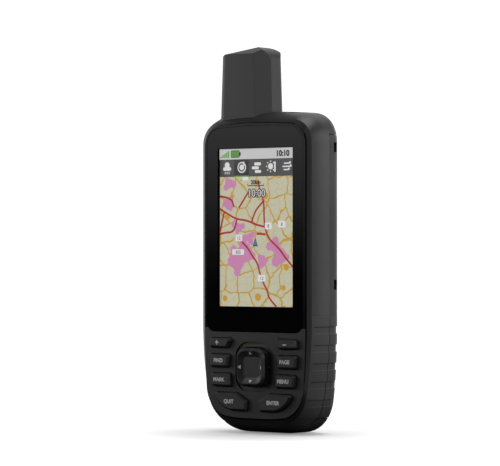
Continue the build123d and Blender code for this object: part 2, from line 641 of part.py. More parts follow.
with BuildPart() as lamp_led:
    block((-14.3, -11.7), (8.6, 9.8), (USB_Z - 1.3, USB_Z + 1.3))
    rod(0.9, -13, USB_Z, (9.7, 10.3))
save(lamp_led, "lamp_led")
with BuildPart() as lamp_lens:
    rod(2.85, -13, USB_Z, (10.6, 13.2))
    fillet(lamp_lens.faces().sort_by(Axis.Y)[-1].edges(), 0.5)
save(lamp_lens, "lamp_lens")

# ---------------------------------------------------------------- antenna
ANTENNA_TOP = 159.9
ANTENNA_LEFT, ANTENNA_RIGHT = -21.9, 3.1
ANTENNA_FRONT, ANTENNA_REAR = -9.3, 6.1


def antenna_plan(z, inset):
    """The antenna's plan at height z: one bevelled front corner, the rest rounded, slightly drafted."""
    draw = inset + 0.022 * (z - 128)
    left = ANTENNA_LEFT + draw + 0.018 * (z - 128)
    right = ANTENNA_RIGHT - draw
    front = ANTENNA_FRONT + inset
    rear = ANTENNA_REAR - draw
    with BuildSketch(Plane.XY.offset(z)) as plan:
        Polygon((left, front), (right - 5.1, front), (right, front + 5.4), (right, rear), (left, rear), align=None)
        fillet([v for v in plan.vertices() if v.Y > 0], 4.6)
        fillet(plan.vertices().group_by(Axis.X)[0].sort_by(Axis.Y)[0], 3.2)
    return plan.sketch


def antenna_form(inset, low):
    """The antenna's outside drawn in by inset: drafted sides under a crested, sloping top."""
    top = ANTENNA_TOP - inset
    with BuildPart() as form:
        add(antenna_plan(low, inset))
        add(antenna_plan(165, inset))
        loft()
        # the top falls away to the left and rolls over to the right
        with BuildSketch(Plane.XZ.offset(30)):
            with BuildLine():
                Line((-26, low), (-22.2, top - 8.0))
                ThreePointArc((-22.2, top - 8.0), (-20.6, top - 4.4), (-17.6, top - 2.6))
                Line((-17.6, top - 2.6), (-3.4, top))
                ThreePointArc((-3.4, top), (0.5, top - 1.8), (2.6, top - 6.5))
                Line((2.6, top - 6.5), (8, top - 14))
                Line((8, top - 14), (8, low))
                Line((8, low), (-26, low))
            make_face()
        extrude(amount=-60, mode=Mode.INTERSECT)
        # the bevel at the front edge and the round at the rear
        with BuildSketch(Plane.YZ.offset(-40)):
            with BuildLine():
                Line((-20, low), (-20, top - 9.6))
                Line((-20, top - 9.6), (-5.0, top))
                Line((-5.0, top), (0.5, top))
                ThreePointArc((0.5, top), (4.3, top - 1.7), (6.1, top - 5.5))
                Line((6.1, top - 5.5), (12, low))
                Line((12, low), (-20, low))
            make_face()
        extrude(amount=80, mode=Mode.INTERSECT)
    return form.part


with BuildPart() as antenna_cover:
    add(antenna_form(0, 126))
    add(antenna_form(1.6, 120), mode=Mode.SUBTRACT)
    add(front_solid, mode=Mode.SUBTRACT)
    add(back_solid, mode=Mode.SUBTRACT)
save(antenna_cover, "antenna_cover")

CORE_X, CORE_Y = -9.6, -1.65
with BuildPart() as antenna_base:
    with Locations((CORE_X, CORE_Y, 133.9)):
        Cylinder(5.7, 1.0)
save(antenna_base, "antenna_base")
with BuildPart() as antenna_core:
    with Locations((CORE_X, CORE_Y, 144.4)):
        Cylinder(5.2, 20)
        Cylinder(1.6, 20, mode=Mode.SUBTRACT)
save(antenna_core, "antenna_core")
with BuildPart() as antenna_strips:
    with Locations((CORE_X, CORE_Y, 144.4)):
        Cylinder(5.4, 19.6)
        Cylinder(5.2, 20, mode=Mode.SUBTRACT)
    with Locations((CORE_X, CORE_Y, 144.4)):
        with PolarLocations(5.4, 4):
            Box(3, 5.6, 30, mode=Mode.SUBTRACT)
save(antenna_strips, "antenna_strips")
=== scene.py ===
from math import cos, radians, sin

import bpy
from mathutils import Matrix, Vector


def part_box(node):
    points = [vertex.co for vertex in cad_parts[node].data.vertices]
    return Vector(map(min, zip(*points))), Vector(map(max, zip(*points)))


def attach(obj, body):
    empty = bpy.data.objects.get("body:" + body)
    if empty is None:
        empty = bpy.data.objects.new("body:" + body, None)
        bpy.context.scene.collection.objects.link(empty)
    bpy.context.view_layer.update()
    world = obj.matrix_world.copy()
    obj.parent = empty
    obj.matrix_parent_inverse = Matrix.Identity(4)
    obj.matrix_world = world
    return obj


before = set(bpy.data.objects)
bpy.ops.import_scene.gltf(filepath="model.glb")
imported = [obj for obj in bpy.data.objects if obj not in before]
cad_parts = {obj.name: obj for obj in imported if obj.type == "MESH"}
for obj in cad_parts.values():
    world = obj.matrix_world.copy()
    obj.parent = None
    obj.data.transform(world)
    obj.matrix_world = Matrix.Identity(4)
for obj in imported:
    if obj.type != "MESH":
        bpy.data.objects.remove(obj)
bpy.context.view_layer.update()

MM = 0.001


# ---------------------------------------------------------------- shader writing
class Wire:
    """An output of a shader node that can be used in sums."""

    def __init__(self, finish, socket):
        self.finish = finish
        self.socket = socket

    def sum(self, operation, first, second):
        return self.finish.node("ShaderNodeMath", {"operation": operation}, {0: first, 1: second})

    def __add__(self, other):
        return self.sum("ADD", self, other)

    def __radd__(self, other):
        return self.sum("ADD", other, self)

    def __sub__(self, other):
        return self.sum("SUBTRACT", self, other)

    def __rsub__(self, other):
        return self.sum("SUBTRACT", other, self)

    def __mul__(self, other):
        return self.sum("MULTIPLY", self, other)

    def __rmul__(self, other):
        return self.sum("MULTIPLY", other, self)

    def __lt__(self, other):
        return self.sum("LESS_THAN", self, other)

    def __gt__(self, other):
        return self.sum("GREATER_THAN", self, other)

    def size(self):
        return self.finish.node("ShaderNodeMath", {"operation": "ABSOLUTE"}, {0: self})

    def most(self, other):
        return self.sum("MAXIMUM", self, other)


class Finish:
    """A material under construction."""

    def __init__(self, name, **constants):
        self.material = bpy.data.materials.new(name)
        self.material.use_nodes = True
        self.tree = self.material.node_tree
        self.shader = self.tree.nodes["Principled BSDF"]
        self.polish = 0.0
        for socket, value in constants.items():
            self.shader.inputs[socket.replace("_", " ")].default_value = value

    def node(self, kind, settings=(), inputs=(), out=0):
        made = self.tree.nodes.new(kind)
        for name, value in dict(settings).items():
            setattr(made, name, value)
        for name, value in dict(inputs).items():
            if isinstance(value, Wire):
                self.tree.links.new(value.socket, made.inputs[name])
            else:
                made.inputs[name].default_value = value
        return Wire(self, made.outputs[out])

    def feed(self, socket, value):
        self.tree.links.new(value.socket, self.shader.inputs[socket])

    def place(self):
        return self.node("ShaderNodeTexCoord", out="Object")

    def along(self, axis):
        return self.node("ShaderNodeSeparateXYZ", inputs={"Vector": self.place()}, out=axis)

    def noise(self, scale, detail=2.0, roughness=0.5, vector=None):
        inputs = {"Vector": vector or self.place(), "Scale": scale, "Detail": detail, "Roughness": roughness}
        return self.node("ShaderNodeTexNoise", inputs=inputs)

    def between(self, value, low, high, to_low=0.0, to_high=1.0):
        settings = {"interpolation_type": "SMOOTHSTEP"}
        inputs = {"Value": value, "From Min": low, "From Max": high, "To Min": to_low, "To Max": to_high}
        return self.node("ShaderNodeMapRange", settings, inputs)

    def mixed(self, mask, low, high):
        inputs = {0: mask, 6: low, 7: high}
        return self.node("ShaderNodeMix", {"data_type": "RGBA"}, inputs, out=2)

    def bump(self, height, strength, distance):
        inputs = {"Height": height, "Strength": strength, "Distance": distance}
        self.feed("Normal", self.node("ShaderNodeBump", inputs=inputs, out="Normal"))


def grey(level):
    """A neutral colour."""
    return (level, level, level, 1.0)


def moulding(name, colour, roughness=0.5, grain=2600.0, depth=0.35, accent=None, **constants):
    """Spark-eroded plastic or rubber: a fine grain, slow cloudiness and rubbed patches.

    An accent is a function that paints over the colour, and may set where the surface is polished.
    """
    finish = Finish(name, **constants)
    fine = finish.noise(grain, 3.0, 0.6)
    coarse = finish.noise(grain * 0.36, 2.0)
    cloud = finish.noise(55.0, 3.0)
    rubbed = finish.between(finish.noise(21.0, 4.0), 0.52, 0.72)
    light = tuple(min(1.0, c * 1.25) for c in colour[:3]) + (1.0,)
    dark = tuple(c * 0.82 for c in colour[:3]) + (1.0,)
    paint = finish.mixed(cloud, dark, light)
    if accent:
        paint = accent(finish, paint)
    finish.feed("Base Color", paint)
    dull = roughness - 0.05 * rubbed + 0.12 * (fine - 0.5)
    finish.feed("Roughness", dull * (1 - 0.8 * finish.polish))
    finish.bump(fine * 0.6 + coarse * 0.4, depth, 0.00006)
    return finish.material


def metal(name, colour, roughness, brushed=0.0, **constants):
    """Bare or plated metal with drawn lines and faint stains."""
    finish = Finish(name, Metallic=1.0, **constants)
    stretch = finish.node(
        "ShaderNodeMapping", inputs={"Vector": finish.place(), "Scale": (1.0, 1.0, 1.0 + brushed)}
    )
    lines = finish.noise(1500.0, 3.0, 0.6, vector=stretch)
    stain = finish.noise(260.0, 3.0)
    dark = tuple(c * 0.75 for c in colour[:3]) + (1.0,)
    finish.feed("Base Color", finish.mixed(finish.between(stain, 0.35, 0.75), colour, dark))
    finish.feed("Roughness", roughness + 0.18 * (lines - 0.5) + 0.1 * stain)
    finish.bump(lines, 0.15, 0.00004)
    return finish.material


# ---------------------------------------------------------------- the display
lcd_low, lcd_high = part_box("lcd_panel")
lens_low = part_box("display_lens")[0]
SCREEN_X = 0.2 * MM
SCREEN_Z = (lcd_low.z + lcd_high.z) / 2 - 0.15 * MM
SCREEN_WIDTH, SCREEN_HEIGHT = 39.6 * MM, 65.3 * MM


def map_screen():
    """The lit panel: pale ground, built-up areas, minor roads, and a dark rim outside the lit area."""
    finish = Finish("map_screen", Roughness=0.4)
    x = finish.along("X") - SCREEN_X
    z = finish.along("Z") - SCREEN_Z
    flat = finish.node("ShaderNodeCombineXYZ", inputs={"X": x, "Y": z})
    inputs = {"Vector": flat, "Scale": 190.0, "Detail": 2.0}
    wander = finish.node("ShaderNodeTexNoise", inputs=inputs, out="Color")
    bent = finish.node(
        "ShaderNodeVectorMath", {"operation": "MULTIPLY_ADD"}, {0: wander, 1: (0.0042, 0.0042, 0.0), 2: flat}
    )

    def lanes(scale, width):
        settings = {"feature": "DISTANCE_TO_EDGE", "voronoi_dimensions": "2D"}
        gap = finish.node("ShaderNodeTexVoronoi", settings, {"Vector": bent, "Scale": scale})
        return finish.between(gap, width, width * 2.1, 1.0, 0.0)

    ground = finish.mixed(finish.noise(240.0, 3.0), (0.545, 0.55, 0.40, 1), (0.60, 0.58, 0.43, 1))
    ground = finish.mixed(lanes(230.0, 0.022) * 0.7, ground, (0.62, 0.47, 0.20, 1))
    ground = finish.mixed(lanes(122.0, 0.026), ground, (0.56, 0.34, 0.035, 1))
    inside = (x.size() < SCREEN_WIDTH / 2) * (z.size() < SCREEN_HEIGHT / 2)
    finish.feed("Base Color", finish.mixed(inside, grey(0.004), grey(0.01)))
    finish.feed("Emission Color", finish.mixed(inside, grey(0.0), ground))
    finish.shader.inputs["Emission Strength"].default_value = 0.9
    return finish.material


def lit(name, colour, strength=0.9):
    """A flat tone on the display, with the panel's faint cell grid."""
    finish = Finish(name, Roughness=0.5, Emission_Strength=strength)
    cells = finish.noise(5200.0, 1.0)
    dark = tuple(c * 0.96 for c in colour[:3]) + (1.0,)
    finish.feed("Emission Color", finish.mixed(cells, dark, colour))
    finish.feed("Base Color", finish.mixed(cells, grey(0.01), grey(0.02)))
    return finish.material


def lens_cover():
    """Polished cover: opaque black border, clear over the lit area."""
    finish = Finish("lens_cover", IOR=1.5)
    x = (finish.along("X") - SCREEN_X).size()
    z = (finish.along("Z") - SCREEN_Z).size()
    edge = (x - SCREEN_WIDTH / 2).most(z - SCREEN_HEIGHT / 2)
    border = finish.between(edge, 0.00018, 0.0003)
    smear = finish.noise(60.0, 4.0)
    finish.feed("Base Color", finish.mixed(border, grey(0.0), grey(0.0035)))
    finish.feed("Roughness", 0.045 + 0.05 * finish.between(smear, 0.55, 0.8))
    finish.feed("Alpha", 0.05 + 0.95 * border)
    return finish.material


rocker_low, rocker_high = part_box("rocker_pad")
ROCKER_MID = (rocker_low.z + rocker_high.z) / 2


def painted_rim_light_and_shade(finish, paint):
    """The front plate's painted light and shade: a painted shadow along a groove round its edge, a painted
    highlight on the rim beside it, painted shade on the left edge and in the rocker's recess, and a painted
    reflection there.
    """
    face = lens_low.y
    x, y, z = finish.along("X").size(), finish.along("Y"), finish.along("Z")
    edge = (x > 26.2 * MM).most(z > 127.2 * MM).most(z < 8.2 * MM).most((x - z) > 9 * MM)
    # painted shadow along the groove at the plate's edge, and a painted highlight on the rim beside it
    groove = (y > face + 0.01 * MM) * finish.between(y, face + 0.22 * MM, face + 0.38 * MM, 1, 0)
    rim = finish.between(y, face + 0.3 * MM, face + 0.5 * MM) * (y < face + 1.7 * MM)
    paint = finish.mixed(groove * edge, paint, grey(0.002))
    paint = finish.mixed(rim * (x > 26.2 * MM) * (z > 18 * MM) * 0.7, paint, grey(0.05))
    # the flat rim round the cover is painted as dark as the cover and polished, and painted shade makes the
    # left edge a little darker
    brow = (z > 43.5 * MM) * (y < face + 0.06 * MM)
    finish.polish = brow.most(groove * edge * 0.6)
    paint = finish.mixed(brow * 0.8, paint, grey(0.003))
    paint = finish.mixed((finish.along("X") < -26.9 * MM) * 0.5, paint, grey(0.003))
    # painted shade on the floor of the rocker's recess, with a painted olive reflection above and below the
    # rocker
    drop = (z - ROCKER_MID).size()
    recess = (y > face + 0.35 * MM) * (y < face + 0.75 * MM) * (x < 10.4 * MM) * (drop < 10.6 * MM)
    paint = finish.mixed(recess * 0.7, paint, grey(0.004))
    painted_reflection = recess * (x < 6.6 * MM) * (drop > 8.5 * MM) * (drop < 9.3 * MM)
    return finish.mixed(painted_reflection * 0.8, paint, (0.055, 0.058, 0.014, 1))


def arrow_marks_and_side_shade(finish, paint):
    """Four printed arrowheads on the slopes of the rocker's dish, and painted shade on the rocker's sides.
    """
    across = finish.along("X").size()
    rise = (finish.along("Z") - ROCKER_MID).size()
    depth = finish.along("Y") - rocker_low.y
    front = depth < 1.3 * MM
    # painted shade on the rocker's sides
    side = (depth > 0.95 * MM) * (across > 6.9 * MM).most(rise > 7.25 * MM)
    paint = finish.mixed(side * 0.85, paint, grey(0.003))
    tall = (rise > 5.3 * MM) * (across < (6.5 * MM - rise) * 0.72)
    wide = (across > 5.2 * MM) * (rise < (6.4 * MM - across) * 0.72)
    return finish.mixed(tall.most(wide) * front, paint, grey(0.72))


GROOVE_TOP, GROOVE_PITCH = 44.4 * MM, 7.5 * MM


def grip_painted_light_and_shade(finish, paint):
    """Painted shade at the top of each groove, a painted highlight along its paler lower edge, and painted
    shade in the seam between the two grips.
    """
    x, y, z = finish.along("X").size(), finish.along("Y"), finish.along("Z")
    below = GROOVE_TOP - z
    step = finish.node("ShaderNodeMath", {"operation": "MODULO"}, {0: below, 1: GROOVE_PITCH})
    grooved = (below > 0.0) * (z > 10 * MM) * (y > -8.6 * MM) * (x > 12 * MM)
    # painted shade at the top of each groove
    paint = finish.mixed(grooved * (step < 0.42 * MM) * 0.9, paint, grey(0.004))
    # painted highlight: a paler lower edge of each groove
    paint = finish.mixed(grooved * (step > 2.75 * MM) * (step < 3.05 * MM) * 0.6, paint, grey(0.11))
    # painted shade in the seam between the two grips
    return finish.mixed(((y - 0.1 * MM).size() < 0.28 * MM) * 0.9, paint, grey(0.004))


def foot_tone(finish, paint):
    """The frame's foot, under the door, is in the same worn black as the grips."""
    return finish.mixed(finish.along("Z") < 7.5 * MM, paint, grey(0.06))


def antenna_painted_light_and_shade(finish, paint):
    """Painted light on the antenna: its bevelled front corner is painted paler as a highlight and its right
    side darker as shade.
    """
    x, y = finish.along("X"), finish.along("Y")
    corner = (y > -9.1 * MM) * (y < -4.0 * MM) * (x > -2.2 * MM)
    # painted highlight on the bevelled front corner
    paint = finish.mixed(corner, paint, grey(0.038))
    # painted shade on the right side
    return finish.mixed((y > -3.8 * MM) * (x > 1.6 * MM), paint, grey(0.016))


HOUSING = moulding("housing_black", grey(0.020), 0.46, accent=painted_rim_light_and_shade)
FRAME = moulding("frame_black", grey(0.022), 0.5, accent=foot_tone)
DOOR = moulding("door_black", grey(0.022), 0.52)
GRIP = moulding("grip_rubber", grey(0.055), 0.62, grain=1900.0, depth=0.4, accent=grip_painted_light_and_shade)
ANTENNA = moulding("antenna_black", grey(0.028), 0.48, accent=antenna_painted_light_and_shade)
KEY = moulding("key_rubber", grey(0.027), 0.5, grain=3000.0, depth=0.25)
ROCKER = moulding("rocker_rubber", grey(0.026), 0.46, grain=3000.0, depth=0.25, accent=arrow_marks_and_side_shade)
POWER = moulding("power_rubber", grey(0.04), 0.55)
STEEL = metal("screw_steel", (0.55, 0.55, 0.54, 1), 0.28)
NICKEL = metal("contact_nickel", (0.62, 0.6, 0.55, 1), 0.3, brushed=6.0)
BLACKENED = metal("blackened_steel", (0.11, 0.11, 0.115, 1), 0.38)
RING = metal("ring_steel", (0.34, 0.34, 0.35, 1), 0.32, brushed=5.0)
BOARD = moulding("board_green", (0.012, 0.11, 0.05, 1), 0.35, grain=1400.0, Coat_Weight=0.4)
FINISHES = {
    "front_housing": HOUSING,
    "back_frame": FRAME,
    "battery_door": DOOR,
    "grip_front": GRIP,
    "grip_door": GRIP,
    "door_seal": moulding("seal_rubber", grey(0.32), 0.6),
    "display_lens": lens_cover(),
    "lens_gasket": moulding("adhesive", grey(0.01), 0.8),
    "lcd_panel": map_screen(),
    "backlight": moulding("backlight_white", grey(0.7), 0.5),
    "display_carrier": moulding("carrier_grey", grey(0.2), 0.5),
    "display_ribbon": moulding("ribbon_amber", (0.42, 0.17, 0.02, 1), 0.3, Coat_Weight=0.5),
    "keypad_mat": moulding("keypad_rubber", grey(0.16), 0.6),
    "switch_domes": STEEL,
    "rocker_pad": ROCKER,
    "rocker_core": moulding("rocker_plastic", grey(0.07), 0.5),
    "power_key": POWER,
    "power_switch": moulding("switch_black", grey(0.03), 0.45),
    "main_board": BOARD,
    "shield_cans": metal("shield_tin", (0.6, 0.6, 0.57, 1), 0.34, brushed=4.0),
    "chips": moulding("chip_black", grey(0.02), 0.45),
    "buzzer": moulding("buzzer_black", grey(0.02), 0.5),
    "board_screws": STEEL,
    "frame_screws": STEEL,
    "spine_screws": BLACKENED,
    "cell_left": moulding("cell_jacket", (0.05, 0.075, 0.10, 1), 0.25, depth=0.05, Coat_Weight=0.6),
    "cell_right": moulding("cell_jacket_right", (0.05, 0.075, 0.10, 1), 0.25, depth=0.05, Coat_Weight=0.6),
    "cell_ends": NICKEL,
    "contact_plates": NICKEL,
    "contact_springs": NICKEL,
    "card_socket": metal("socket_steel", (0.58, 0.58, 0.55, 1), 0.3),
    "memory_card": moulding("card_black", grey(0.02), 0.4),
    "mount_spine": moulding("spine_black", grey(0.024), 0.46),
    "latch_core": metal("latch_aluminium", (0.10, 0.10, 0.105, 1), 0.42),
    "latch_cam": RING,
    "latch_screw": STEEL,
    "latch_ring": RING,
    "usb_socket": NICKEL,
    "usb_cap": moulding("flap_rubber", grey(0.03), 0.65),
    "lamp_led": lit("led_amber", (0.8, 0.6, 0.2, 1), 0.15),
    "lamp_lens": moulding("lamp_clear", grey(0.8), 0.08, depth=0.02, Transmission_Weight=0.9),
    "antenna_cover": ANTENNA,
    "antenna_base": BOARD,
    "antenna_core": moulding("core_ceramic", (0.62, 0.58, 0.5, 1), 0.4),
    "antenna_strips": metal("strip_copper", (0.72, 0.38, 0.2, 1), 0.3),
}
for node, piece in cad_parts.items():
    finish = KEY if node.startswith("key_") else FINISHES.get(node, HOUSING)
    piece.data.materials.clear()
    piece.data.materials.append(finish)


# ---------------------------------------------------------------- modelling helpers
def start():
    """Deselects everything before a new piece is added."""
    bpy.ops.object.select_all(action="DESELECT")


def settle(name, body, finish):
    """Names the active piece, fixes its place in its mesh, and joins it to its body."""
    piece = bpy.context.object
    piece.name = name
    piece.data.name = name
    bpy.ops.object.transform_apply(location=True, rotation=True, scale=True)
    piece.data.materials.clear()
    piece.data.materials.append(finish)
    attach(piece, body)
    return piece


def tile(x, z, width, height, y, corner=0.0, thick=0.02 * MM):
    """A thin plate facing the front, centred at x and z, with rounded corners."""
    start()
    bpy.ops.mesh.primitive_cube_add(size=1, location=(x, y, z), scale=(width, thick, height))
    bpy.ops.object.transform_apply(location=True, rotation=True, scale=True)
    piece = bpy.context.object
    bpy.ops.object.mode_set(mode="EDIT")
    bpy.ops.mesh.select_all(action="DESELECT")
    bpy.ops.object.mode_set(mode="OBJECT")
    for edge in piece.data.edges:
        first, second = (piece.data.vertices[n].co for n in edge.vertices)
        edge.select = abs(first.x - second.x) < 1e-7 and abs(first.z - second.z) < 1e-7
    bpy.ops.object.mode_set(mode="EDIT")
    bpy.ops.mesh.select_mode(type="EDGE")
    bpy.ops.mesh.bevel(offset=corner or min(width, height) * 0.06, segments=4)
    bpy.ops.object.mode_set(mode="OBJECT")
    return piece


def disc(x, z, radius, y, corners=24, turn=0.0, stretch=1.0, thick=0.02 * MM):
    """A thin round or many-sided plate facing the front."""
    start()
    bpy.ops.mesh.primitive_cylinder_add(
        vertices=corners, radius=radius, depth=thick, location=(x, y, z), rotation=(radians(90), turn, 0)
    )
    piece = bpy.context.object
    piece.scale.x = stretch
    bpy.ops.object.transform_apply(location=True, rotation=True, scale=True)
    return piece


def lettering(words, x, z, y, size, thick=0.01 * MM, bold=0.0):
    """Raised lettering facing the front, centred at x and z."""
    start()
    bpy.ops.object.text_add(location=(x, y, z), rotation=(radians(90), 0, 0))
    text = bpy.context.object
    text.data.body = words
    text.data.size = size
    text.data.align_x = "CENTER"
    text.data.align_y = "CENTER"
    text.data.extrude = thick
    text.data.offset = bold
    bpy.ops.object.convert(target="MESH")
    bpy.ops.object.transform_apply(location=True, rotation=True, scale=True)
    return bpy.context.object


def lane(points, radius, y):
    """A road on the map: a rounded ribbon through the points, flattened to a film."""
    start()
    bpy.ops.curve.primitive_nurbs_path_add(location=(0, 0, 0))
    road = bpy.context.object
    spline = road.data.splines[0]
    if len(points) > 5:
        spline.points.add(len(points) - 5)
    for n in range(len(spline.points)):
        u, v = points[min(n, len(points) - 1)]
        spline.points[n].co = (*spot(u, v), 0, 1)
    spline.order_u = 3
    spline.use_endpoint_u = True
    road.data.bevel_depth = radius
    road.data.bevel_resolution = 1
    road.data.use_fill_caps = True
    road.rotation_euler = (radians(90), 0, 0)
    bpy.ops.object.convert(target="MESH")
    bpy.ops.object.transform_apply(location=True, rotation=True, scale=True)
    road = bpy.context.object
    road.scale.y = 0.04
    bpy.ops.object.transform_apply(location=True, rotation=True, scale=True)
    road.location.y = y
    bpy.ops.object.transform_apply(location=True, rotation=True, scale=True)
    return road


def merge(pieces):
    """Joins several pieces into the last one."""
    start()
    for piece in pieces:
        piece.select_set(True)
    bpy.context.view_layer.objects.active = pieces[-1]
    bpy.ops.object.join()
    return bpy.context.object


def spot(u, v):
    """A place on the display: u runs left to right and v top to bottom, both from 0 to 1."""
    return (SCREEN_X + (u - 0.5) * SCREEN_WIDTH, SCREEN_Z + (0.5 - v) * SCREEN_HEIGHT)


# ---------------------------------------------------------------- what the display shows
GLASS = lcd_low.y
INK = lit("display_ink", grey(0.02), 0.0)
PALE = lit("display_pale", grey(0.62))
SNOW = lit("display_white", grey(0.80))
SLATE = lit("display_slate", grey(0.075))
COAL = lit("display_coal", grey(0.03))
LEAF = lit("display_green", (0.13, 0.38, 0.07, 1))
CRIMSON = lit("display_crimson", (0.40, 0.03, 0.035, 1))
NAVY = lit("display_navy", (0.02, 0.07, 0.16, 1))
TEAL = lit("display_teal", (0.05, 0.22, 0.30, 1))
AMBER = lit("display_amber", (0.60, 0.33, 0.03, 1))
ROSE = lit("display_rose", (0.62, 0.25, 0.45, 1))
level = [GLASS - 0.02 * MM * n for n in range(1, 8)]


def shown(name, pieces, finish):
    merge(pieces)
    return settle(name, "case", finish)


def bars():
    """The status bar, the icon row and the highlighted cell behind the second icon."""
    tile(*spot(0.5, 0.033), SCREEN_WIDTH, 0.066 * SCREEN_HEIGHT, level[0])
    settle("status_bar", "case", PALE)
    tile(*spot(0.5, 0.1215), SCREEN_WIDTH, 0.111 * SCREEN_HEIGHT, level[0])
    settle("icon_row", "case", SLATE)
    tile(*spot(0.295, 0.1215), 0.2 * SCREEN_WIDTH, 0.108 * SCREEN_HEIGHT, level[1])
    settle("icon_chosen", "case", COAL)


def signal_and_charge():
    """The underline of the highlighted cell, five signal bars and four bars of charge."""
    marks = [tile(*spot(0.295, 0.174), 0.2 * SCREEN_WIDTH, 0.5 * MM, level[2])]
    for n in range(5):
        tall = (0.6 + 0.55 * n) * MM
        x, z = spot(0.018 + 0.025 * n, 0.055)
        marks.append(tile(x, z + tall / 2, 0.75 * MM, tall, level[1]))
    for n in range(4):
        marks.append(tile(*spot(0.168 + 0.027 * n, 0.032), 0.85 * MM, 2.5 * MM, level[2]))
    shown("signal_and_charge", marks, LEAF)


def status_ink():
    """The battery's outline and the time."""
    x, z = spot(0.210, 0.032)
    marks = [
        tile(x, z, 4.7 * MM, 3.0 * MM, level[1], 0.4 * MM),
        tile(x + 2.6 * MM, z, 0.7 * MM, 1.4 * MM, level[1]),
    ]
    marks.append(lettering("10:10", *spot(0.850, 0.036), level[1], 3.2 * MM, bold=0.16 * MM))
    shown("status_ink", marks, INK)


def picture(n):
    """The middle of the nth picture in the icon row."""
    return spot(0.1 + 0.2 * n, 0.118)


def rain():
    x, z = picture(0)
    cloud = [
        disc(x, z + 1.0 * MM, 1.3 * MM, level[2]),
        tile(x, z - 0.5 * MM, 4.4 * MM, 1.5 * MM, level[2], 0.7 * MM),
    ]
    drops = [tile(x + n * 0.8 * MM, z - 2.2 * MM, 0.4 * MM, 0.9 * MM, level[2]) for n in (-1.3, 0, 1.3)]
    return cloud + drops


def layered_clouds():
    x, z = picture(2)
    return [
        tile(x + 0.6 * MM, z + 1.3 * MM, 3.6 * MM, 1.3 * MM, level[2], 0.6 * MM),
        tile(x - 0.6 * MM, z - 0.3 * MM, 3.8 * MM, 1.2 * MM, level[2], 0.6 * MM),
        tile(x + 0.8 * MM, z - 1.8 * MM, 3.4 * MM, 1.2 * MM, level[2], 0.6 * MM),
    ]


def sun_and_thermometer():
    x, z = picture(3)
    marks = [disc(x - 0.4 * MM, z + 0.2 * MM, 1.3 * MM, level[2])]
    for n in range(8):
        ray = radians(45 * n)
        east = x + (2.1 * cos(ray) - 0.4) * MM
        north = z + (2.1 * sin(ray) + 0.2) * MM
        marks.append(disc(east, north, 0.33 * MM, level[2], corners=8))
    return marks + [tile(x + 1.9 * MM, z, 0.8 * MM, 4.4 * MM, level[2], 0.35 * MM)]


def wind():
    x, z = picture(4)
    marks = []
    for n, wide in enumerate((3.2, 4.4, 2.8)):
        middle = x + (0.3 - 0.2 * n) * MM
        curl = x + (0.3 - 0.2 * n + wide / 2) * MM
        marks.append(tile(middle, z + (1.3 - 1.3 * n) * MM, wide * MM, 0.55 * MM, level[2], 0.25 * MM))
        marks.append(disc(curl, z + (1.6 - 1.3 * n) * MM, 0.5 * MM, level[2], corners=12))
    return marks


def weather_pictures():
    """The five white pictures in the icon row; the second is a dial."""
    x, z = picture(1)
    marks = rain()
    marks.append(disc(x, z, 2.3 * MM, level[2], corners=32))
    marks += layered_clouds() + sun_and_thermometer() + wind()
    shown("weather_pictures", marks, SNOW)
    shown("dial_inner", [disc(x, z, 1.75 * MM, level[3], corners=32)], COAL)
    centre = disc(x, z, 1.2 * MM, level[4], corners=32)
    hand = tile(x + 1.1 * MM, z + 1.4 * MM, 0.5 * MM, 2.0 * MM, level[4])
    shown("dial_centre", [centre, hand], SNOW)


# each main road, as places on the display from 0 to 1 across and down
EAST_ROAD = [
    (0.52, 0.20), (0.54, 0.27), (0.60, 0.33), (0.60, 0.44), (0.62, 0.52),
    (0.68, 0.58), (0.80, 0.63), (0.90, 0.70), (1.0, 0.755),
]
SOUTH_ROAD = [
    (0.30, 0.59), (0.38, 0.625), (0.44, 0.68), (0.51, 0.72), (0.55, 0.80),
    (0.60, 0.86), (0.65, 0.90), (0.66, 0.945), (0.77, 1.0),
]
MAIN_ROADS = [
    EAST_ROAD,
    [(0.60, 0.33), (0.52, 0.37), (0.47, 0.41), (0.43, 0.47)],
    [(0.0, 0.30), (0.09, 0.305), (0.17, 0.325), (0.19, 0.37)],
    [(0.0, 0.38), (0.10, 0.41), (0.22, 0.445), (0.38, 0.455), (0.50, 0.485), (0.61, 0.495)],
    [(0.39, 0.275), (0.33, 0.32), (0.26, 0.375)],
    [(0.23, 0.445), (0.22, 0.49), (0.17, 0.53), (0.08, 0.53), (0.0, 0.54)],
    SOUTH_ROAD,
    [(0.50, 0.54), (0.57, 0.54), (0.62, 0.545)],
    [(0.0, 0.53), (0.03, 0.46), (0.06, 0.40)],
]


def built_up(places):
    """Pink built-up areas: for each, a middle patch with three smaller ones round it."""
    marks = []
    for u, v, wide, stretch in places:
        x, z = spot(u, v)
        wide *= 1.4
        marks.append(disc(x, z, 0.75 * wide * MM, level[0], corners=7, turn=u * 7, stretch=stretch))
        for n in range(3):
            way = 2.1 * n + 9 * v
            east = 0.75 * wide * cos(way) * MM
            north = 0.6 * wide * sin(way) * MM
            radius = (0.3 + 0.12 * n) * wide * MM
            marks.append(disc(x + east, z + north, radius, level[0], corners=6, turn=way))
    shown("built_up", marks, ROSE)


def town_centres(places):
    marks = [disc(*spot(u, v), wide * MM, level[1], corners=7, turn=v * 9) for u, v, wide in places]
    shown("town_centres", marks, AMBER)


def road_shields(places):
    """Blank white road signs; the numbers on them are drawn with the map's other lettering."""
    marks = [tile(*spot(u, v), wide * MM, tall * MM, level[3], 0.4 * MM) for u, v, wide, tall in places]
    shown("road_shields", marks, SNOW)


